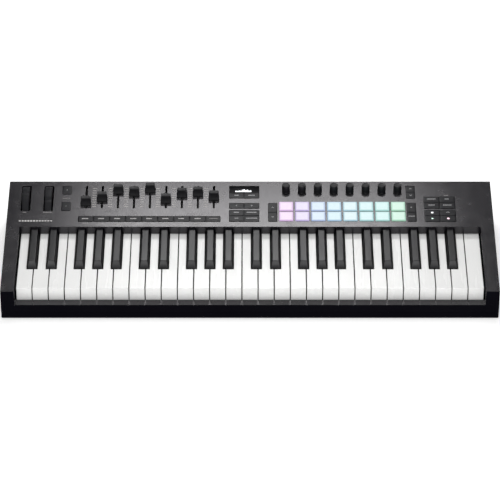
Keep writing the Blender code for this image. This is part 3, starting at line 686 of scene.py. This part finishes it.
def make_knobs():
    """Finely fluted knobs with a smooth collar and a dished top inside a bevelled rim."""
    radius, top = 6.1, 15.2
    collar = [
        (3.0, -2.6, False), (3.0, 0.5, False), (6.0, 0.5, False), (6.2, 0.8, False),
        (6.2, 3.4, False), (6.0, 3.7, False),
    ]
    grip = [
        (radius - 0.2, 3.5, False), (radius, 4.0, True), (radius - 0.05, 8.0, True),
        (radius - 0.1, top - 1.5, True), (radius - 0.2, top - 1.2, False),
        (radius - 0.3, top - 0.7, False), (radius - 0.7, top - 0.15, False),
        (radius - 1.1, top, False), (radius - 1.5, top - 0.05, False),
        (radius - 2.1, top - 0.3, False), (1.5, top - 0.5, False),
    ]
    for node in KNOB_NODES:
        spot = panel_point(JOINTS[node]["pos_m"])
        mesh_piece(f"{node}_collar", fluted_piece(spot, collar), "control", node, PANEL, 38)
        bm = fluted_piece(spot, grip)
        # Painted highlight: the knob's top faces take the lighter top material.
        mark_top(bm, top - 0.8)
        mesh_piece(f"{node}_grip", bm, ["control", "control_painted_top"], node, PANEL, 38, [node])


# Linear colours of the lit pads from left to right: the middle of each, and its sides.
PAD_COLOURS = (
    ((1.0, 0.80, 1.0), (0.62, 0.36, 0.72)),
    ((0.87, 0.79, 1.0), (0.44, 0.34, 0.72)),
    ((0.74, 0.89, 1.0), (0.30, 0.42, 0.72)),
    ((0.73, 0.95, 1.0), (0.26, 0.50, 0.72)),
    ((0.79, 0.98, 1.0), (0.28, 0.55, 0.66)),
    ((0.74, 0.99, 1.0), (0.26, 0.60, 0.60)),
    ((0.72, 1.0, 0.97), (0.26, 0.62, 0.56)),
    ((0.70, 0.99, 0.82), (0.24, 0.60, 0.38)),
)


def make_pads():
    """Sixteen lit pads on their common mat."""
    cells = top_cells("pad_mat")
    columns = sorted({round(c[0]) for c in cells})
    low_v = min(c[2] for c in cells)
    bm = bmesh.new()
    x0, x1 = min(c[0] for c in cells) - 1.0, max(c[1] for c in cells) + 1.0
    v0, v1 = low_v - 1.0, max(c[3] for c in cells) + 1.0
    add_block(bm, x0, x1, v0, v1, -3.8, -2.8, 1.0, 0.2)
    MATERIALS["pad_web"] = moulded("pad_web", (0.10, 0.10, 0.11), (0.13, 0.13, 0.14), 0.6, 0.3)
    mesh_piece("pad_mat_web", bm, "pad_web", "pad_mat", replaces=["pad_mat"])
    for x0, x1, v0, v1, w in cells:
        column = columns.index(round(x0))
        row = "lower" if v0 < low_v + 1 else "upper"
        look = f"pad_{column + 1}"
        if look not in MATERIALS:
            MATERIALS[look] = lit_silicone(look, *PAD_COLOURS[column])
        bm = bmesh.new()
        add_block(bm, x0, x1, v0, v1, -3.0, w - 0.15, 1.3, 0.6, 0.15)
        pad = mesh_piece(f"pad_{row}_{column + 1}", bm, look, "pad_mat")


def make_button_tops(node):
    """One soft button per cell of a mat. Returns the cells, from the back row to the front one."""
    cells = top_cells(node)
    bm = bmesh.new()
    for x0, x1, v0, v1, w in cells:
        add_block(bm, x0, x1, v0, v1, -3.3, w - 0.06, 0.78, 0.3, 0.06)
    x0, x1 = min(c[0] for c in cells), max(c[1] for c in cells)
    v0, v1 = min(c[2] for c in cells), max(c[3] for c in cells)
    add_block(bm, x0 - 1.0, x1 + 1.0, v0 - 1.0, v1 + 1.0, -3.8, -2.8, 0.8, 0.1)
    mesh_piece(f"{node}_tops", bm, "button", node, replaces=[node])
    return cells


def centre_of(cell):
    return (cell[0] + cell[1]) / 2, (cell[2] + cell[3]) / 2


def word(bm, x, v, width, z, height=1.5, seed=1):
    """A printed label as a row of short plain dashes."""
    chance = random.Random(seed)
    edge = x - width / 2
    while edge < x + width / 2 - 0.6:
        length = min(chance.choice((1.0, 1.4, 1.8)), x + width / 2 - edge)
        add_flat(bm, rounded_rect(edge, edge + length, v - height / 2, v + height / 2, 0.25, 2), z)
        edge += length + 0.3


def chevron(bm, x, v, size, z, turn):
    """An open arrow head that points up, turned anticlockwise by quarter turns."""
    points = []
    for a, b in ((-1.0, -0.5), (0.0, 0.5), (1.0, -0.5)):
        for _ in range(turn):
            a, b = -b, a
        points.append((x + a * size, v + b * size))
    add_line(bm, points, 0.7, z)


def arc_outline(x, v, outer, inner, start, sweep):
    """A curved bar between two radii, from a start angle over a sweep in degrees."""
    steps = 20
    turns = [math.radians(start + sweep * i / steps) for i in range(steps + 1)]
    outside = [(x + outer * math.cos(turn), v + outer * math.sin(turn)) for turn in turns]
    inside = [(x + inner * math.cos(turn), v + inner * math.sin(turn)) for turn in turns]
    return outside + inside[::-1]


def make_legends():
    """Printed and lit legends on the buttons: dashes for words and plain signs."""
    cells = {}
    for node in (n for n in NODES if n.endswith(("_buttons", "_button"))):
        cells[node] = make_button_tops(node)

    def legend(node, look, draw, part="legend"):
        bm = bmesh.new()
        draw(bm, cells[node], cells[node][0][4] + 0.01)
        mesh_piece(f"{node}_{part}", bm, look, node)

    def words(widths, shift):
        def draw(bm, found, z):
            for i, (cell, width) in enumerate(zip(found, widths)):
                if width:
                    x, v = centre_of(cell)
                    word(bm, x, v + shift, width, z, seed=i + 3)
        return draw

    def minus(bm, found, z):
        x, v = centre_of(found[0])
        add_line(bm, [(x - 1.0, v), (x + 1.0, v)], 0.6, z)

    def plus(bm, found, z):
        minus(bm, found, z)
        x, v = centre_of(found[0])
        add_line(bm, [(x, v - 1.0), (x, v + 1.0)], 0.6, z + 0.01)

    legend("octave_up_button", "ink_button", plus)
    legend("octave_down_button", "ink_button", minus)

    def fader_marks(bm, found, z):
        for i, cell in enumerate(found[:-1]):
            x = FIRST_FADER_X + FADER_STEP * i
            word(bm, x, centre_of(cell)[1], 9.0, z, 1.9, seed=20 + i)

    def last_fader_mark(bm, found, z):
        x = FIRST_FADER_X + FADER_STEP * (len(found) - 1)
        word(bm, x, centre_of(found[-1])[1], 13.0, z, 1.4, seed=40)

    legend("fader_buttons", "ink", fader_marks)
    legend("fader_buttons", "ink_faint", last_fader_mark, "last_legend")
    legend("display_buttons", "ink_button", words((6.5, 10.0), 0.5))
    legend("mode_buttons", "ink_button", words((0.0, 0.0, 7.5, 15.0, 5.5, 17.0), 0.7))
    legend("edit_buttons", "ink_button", words((13.0, 7.0, 10.0, 13.0), 0.7))

    def tracks(bm, found, z):
        x, v = centre_of(found[0])
        chevron(bm, x, v, 1.5, z, 1)
        x, v = centre_of(found[1])
        chevron(bm, x, v, 1.5, z, 3)

    def pages(bm, found, z):
        x, v = centre_of(found[0])
        chevron(bm, x, v, 1.7, z, 0)
        x, v = centre_of(found[1])
        chevron(bm, x, v, 1.7, z, 2)

    def scene_signs(bm, found, z):
        x, v = centre_of(found[0])
        add_flat(bm, [(x - 1.0, v - 1.3), (x + 1.3, v), (x - 1.0, v + 1.3)], z)
        x, v = centre_of(found[1])
        word(bm, x, v + 1.5, 10.0, z, 1.3, seed=61)

    legend("mode_buttons", "ink_button", tracks, "arrows")
    legend("pad_page_buttons", "ink_button", pages)
    legend("knob_page_buttons", "ink_button", pages)
    legend("scene_buttons", "ink_button", scene_signs)

    def stop_sign(bm, found, z):
        x, v = centre_of(found[0])
        add_flat(bm, rounded_rect(x - 1.6, x + 1.6, v - 1.5, v + 1.5, 0.3), z)

    def loop_sign(bm, found, z):
        x, v = centre_of(found[1])
        add_flat(bm, arc_outline(x, v - 0.8, 2.6, 1.7, 20.0, 140.0), z)

    def play_sign(bm, found, z):
        x, v = centre_of(found[2])
        add_flat(bm, [(x - 1.4, v - 1.7), (x + 1.9, v), (x - 1.4, v + 1.7)], z)

    def record_sign(bm, found, z):
        x, v = centre_of(found[3])
        add_flat(bm, circle(1.8, 24, (x, v)), z)

    legend("transport_buttons", "glow_white", stop_sign, "stop_sign")
    legend("transport_buttons", "ink_button", loop_sign, "loop_sign")
    legend("transport_buttons", "glow_green", play_sign, "play_sign")
    legend("transport_buttons", "glow_red", record_sign, "record_sign")


def make_display():
    """A glossy window with a generic bar display behind it."""
    points = [panel_point(v.co) for v in NODES["display_window"].data.vertices]
    x0, x1 = min(p.x for p in points), max(p.x for p in points)
    v0, v1 = min(p.y for p in points), max(p.y for p in points)
    top = max(p.z for p in points)
    bm = bmesh.new()
    add_block(bm, x0, x1, v0, v1, top - 1.5, top, 1.0, 0.2)
    mesh_piece("display_glass", bm, "window", CASE, replaces=["display_window"])
    bm = bmesh.new()
    foot = v0 + 2.9
    for i, height in enumerate((3.0, 2.4, 3.4, 3.0, 5.2, 6.4, 4.0, 5.4, 3.2, 3.4)):
        left = -22.0 + 2.45 * i
        bar = rounded_rect(left, left + 1.9, foot, foot + height, 0.4)
        add_flat(bm, bar, top + 0.005, 0.02)
    mesh_piece("display_levels", bm, "glow_white", CASE)


def make_panel_prints():
    """Labels and scales printed on the panel, all as plain dashes and bars."""
    skin = 0.01
    bm = bmesh.new()
    labels = (  # x, v, width and height of each
        (-337.5, 34.6, 6.0, 1.3), (-303.3, 34.6, 14.0, 1.6), (-276.0, 68.5, 11.5, 1.2),
        (137.0, 64.2, 19.0, 1.3), (138.0, 8.2, 12.0, 1.1), (295.5, 75.6, 7.0, 1.4),
        (-19.5, 8.0, 7.5, 1.3),
    )
    for i, (x, v, width, height) in enumerate(labels):
        word(bm, x, v, width, skin, height, seed=5 + i)
    for i in range(len(FADER_NODES)):
        x = FIRST_FADER_X + FADER_STEP * i
        word(bm, x, 8.4, 9.5, skin, 1.2, seed=70 + i)
    for i in (2, 7):
        x = FIRST_FADER_X + FADER_STEP * i
        word(bm, x, 5.8, 12.0, skin, 1.2, seed=90 + i)
    mesh_piece("panel_labels", bm, "ink_faint", CASE)
    bm = bmesh.new()
    for column in range(len(FADER_NODES) - 1):
        x = FIRST_FADER_X + FADER_STEP * (column + 0.5)
        for tick in range(9):
            v = 48.5 + 5.5 * tick
            add_flat(bm, rounded_rect(x - 3.0, x + 3.0, v - 0.45, v + 0.45, 0.2, 2), skin)
    mesh_piece("fader_scales", bm, "ink_scale", CASE)
    bm = bmesh.new()
    x = -345.0
    for i in range(12):
        height = 3.6 - 0.18 * abs(i - 4)
        add_flat(bm, rounded_rect(x, x + 2.9, 14.0 - height / 2, 14.0 + height / 2, 0.5), skin)
        x += 4.25
    mesh_piece("panel_mark", bm, "ink", CASE)


# Underside and back


def make_feet():
    """Round feet with a ringed sole."""
    radius = 8.0
    for node in (n for n in NODES if n.startswith("foot_")):
        low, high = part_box(node)
        x, y = (low.x + high.x) / 2 / MM, ((low.y + high.y) / 2 - CASE_LOW.y) / MM
        profile = [
            (1.5, 0.5), (2.4, 0.5), (2.8, 0.0), (4.6, 0.0), (4.9, 0.3), (5.3, 0.3), (5.6, 0.0),
            (radius - 0.6, 0.0), (radius - 0.2, 0.15), (radius, 0.55), (radius, high.z / MM),
        ]
        bm = bmesh.new()
        add_rings(bm, [[(a, b, z) for a, b in circle(r, 48, (x, y))] for r, z in profile])
        mesh_piece(f"{node}_pad", bm, "foot", CASE, CASE_MM, 35, [node])


def make_screws():
    """Cross-head screws sunk a little into the underside."""
    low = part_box("bottom_cover")[0].z / MM
    profile = [(3.2, low - 0.05), (3.2, low - 0.3), (2.7, low - 0.55), (1.2, low - 0.6)]
    spots = [(x, y) for x in (-353.3, -200.0, 0.0, 200.0, 353.3) for y in (12.0, 130.0, 246.0)]
    bm = bmesh.new()
    for spot in spots:
        add_rings(bm, [[(a, b, z) for a, b in circle(r, 24, spot)] for r, z in profile])
    mesh_piece("case_screws", bm, "screw", CASE, CASE_MM, 35)
    # Painted shade: a thin dark cross sheet on each flat head stands in for the shaded cross recess.
    bm = bmesh.new()
    for x, y in spots:
        for long_x, long_y, z in ((1.5, 0.35, low - 0.63), (0.35, 1.5, low - 0.62)):
            outline = rounded_rect(x - long_x, x + long_x, y - long_y, y + long_y, 0.2, 2)
            add_flat(bm, outline, z, 0.05)
    mesh_piece("screw_cross_painted_shade", bm, "hole", CASE, CASE_MM, 35)


def upright_ring(outline, y):
    """An outline across the back, at a depth y."""
    return [(x, y, z) for x, z in outline]


def make_sockets():
    """Metal mouths and contacts of the sockets at the back."""
    back = (CASE_HIGH.y - CASE_LOW.y) / MM
    usb, jack, midi = (-252.0, 27.4), (-222.0, 33.0), (-188.0, 36.0)
    for name, centre, outer, inner, deep, out in (
        ("jack_mouth", jack, 4.4, 3.3, back - 5.0, back - 0.1),
        ("midi_mouth", midi, 7.8, 6.75, back - 8.0, back - 0.2),
    ):
        profile = [
            (inner, deep), (outer, deep), (outer, out - 0.4), (outer - 0.3, out),
            (inner + 0.3, out), (inner, out - 0.3),
        ]
        bm = bmesh.new()
        add_tube(bm, [upright_ring(circle(radius, 40, centre), y) for radius, y in profile])
        mesh_piece(name, bm, "metal", CASE, CASE_MM, 35)
    bm = bmesh.new()
    for i in range(5):
        angle = math.radians(180.0 + 45.0 * i)
        spot = (midi[0] + 4.3 * math.cos(angle), midi[1] + 4.3 * math.sin(angle))
        profile = [(0.6, back - 10.5), (0.6, back - 3.4), (0.35, back - 3.0)]
        add_rings(bm, [upright_ring(circle(radius, 12, spot), y) for radius, y in profile])
    mesh_piece("midi_pins", bm, "metal", CASE, CASE_MM, 35)

    def usb_outline(half_x, half_z, corner, steps=4):
        x, z = usb
        return rounded_rect(x - half_x, x + half_x, z - half_z, z + half_z, corner, steps)

    outer, inner = usb_outline(4.55, 1.7, 1.6, 6), usb_outline(4.15, 1.28, 1.2, 6)
    deep, out = back - 6.0, back - 0.25
    bm = bmesh.new()
    rings = ((inner, deep), (outer, deep), (outer, out), (inner, out))
    add_tube(bm, [upright_ring(outline, y) for outline, y in rings])
    mesh_piece("usb_mouth", bm, "metal", CASE, CASE_MM, 35)
    bm = bmesh.new()
    tongue = usb_outline(3.2, 0.35, 0.3)
    add_rings(bm, [upright_ring(tongue, y) for y in (back - 7.5, back - 1.0)])
    mesh_piece("usb_tongue", bm, "hole", CASE, CASE_MM, 35)
    bm = bmesh.new()
    for i, (x, _) in enumerate((usb, jack, midi)):
        for j in range(i + 1):
            dot = circle(0.7, 16, (x - 1.2 * i + 2.4 * j, 48.5))
            add_rings(bm, [upright_ring(dot, y) for y in (back + 0.005, back + 0.03)])
    mesh_piece("socket_marks", bm, "ink_faint", CASE, CASE_MM, 35)


def dress_inner_nodes():
    """The pieces inside the case keep their CAD shape and take their material."""
    for node, look in (
        ("key_chassis", "chassis"), ("key_contact_board", "board"), ("panel_board", "module"),
        ("rear_socket_board", "hole"),
    ):
        obj = NODES[node]
        obj.data.materials.clear()
        obj.data.materials.append(MATERIALS[look])


# Floor, light and camera


def make_floor():
    """Pale paper that glows a little, so that its shadows stay soft."""
    bm = bmesh.new()
    bmesh.ops.create_grid(bm, x_segments=1, y_segments=1, size=8.0)
    mesh = bpy.data.meshes.new("floor")
    bm.to_mesh(mesh)
    bm.free()
    floor = bpy.data.objects.new("floor", mesh)
    bpy.context.scene.collection.objects.link(floor)
    shader = Shader("floor_paper", (0.9, 0.9, 0.9), 0.9, specular=0.1)
    shader.colour(shader.noise(3.0, 3.0), (0.89, 0.89, 0.89), (0.91, 0.91, 0.91))
    shader.main.inputs["Emission Color"].default_value = (1.0, 1.0, 1.0, 1.0)
    shader.main.inputs["Emission Strength"].default_value = 0.42
    mesh.materials.append(shader.made)


def area_light(name, place, target, width, depth, radiance):
    """A soft box of a width and depth that looks at the target."""
    data = bpy.data.lights.new(name, "AREA")
    data.shape = "RECTANGLE"
    data.size, data.size_y = width, depth
    data.energy = radiance * math.pi * width * depth
    light = bpy.data.objects.new(name, data)
    light.location = place
    sight = Vector(target) - Vector(place)
    light.rotation_euler = sight.to_track_quat("-Z", "Y").to_euler()
    bpy.context.scene.collection.objects.link(light)
    return light


def make_lights():
    world = bpy.data.worlds.new("studio")
    world.use_nodes = True
    background = world.node_tree.nodes["Background"]
    background.inputs["Color"].default_value = (1.0, 1.0, 1.0, 1.0)
    background.inputs["Strength"].default_value = 0.15
    bpy.context.scene.world = world
    middle = Vector((0.0, 0.0, 0.0))
    panel = PANEL @ Vector((0.0, 50.0, 0.0))
    elevation = math.radians(49.0)
    to_back = Vector((0.0, math.cos(elevation), math.sin(elevation)))
    # The panel's sheen comes from this box, which the caps and knobs don't shade. The
    # panel mirrors only their lowest part, so that nothing hides the sheen in front of them.
    sheen = area_light("back_box", panel + 1.3 * to_back, panel, 0.60, 0.32, 12.1)
    blockers = bpy.data.collections.new("sheen_blockers")
    for obj in bpy.context.scene.objects:
        if obj.type == "MESH" and obj.name.startswith(("knob_", "fader_cap_")):
            obj.visible_glossy = not obj.name.endswith("_grip")
        elif obj.type == "MESH":
            blockers.objects.link(obj)
    sheen.light_linking.blocker_collection = blockers
    elevation = math.radians(33.0)
    to_front = Vector((0.0, -math.cos(elevation), math.sin(elevation)))
    area_light("front_box", 3.0 * to_front, middle, 3.0, 1.8, 3.0)
    area_light("top_box", (0.0, 0.1, 2.4), middle, 1.8, 1.4, 2.4)


def make_camera():
    """A camera in front and above, far off with a long lens."""
    data = bpy.data.cameras.new("camera")
    data.lens = 238.3
    data.sensor_width = 36.0
    camera = bpy.data.objects.new("camera", data)
    camera.location = (0.0, -4.0194, 2.8824)
    camera.rotation_euler = (math.radians(54.65), 0.0, 0.0)
    bpy.context.scene.collection.objects.link(camera)
    bpy.context.scene.camera = camera
    bpy.context.scene.view_settings.view_transform = "Standard"


make_camera()
make_case_top()
make_case_bottom()
make_keys()
make_wheels()
make_fader_caps()
make_knobs()
make_pads()
make_legends()
make_display()
make_panel_prints()
make_feet()
make_screws()
make_sockets()
dress_inner_nodes()
make_floor()
make_lights()
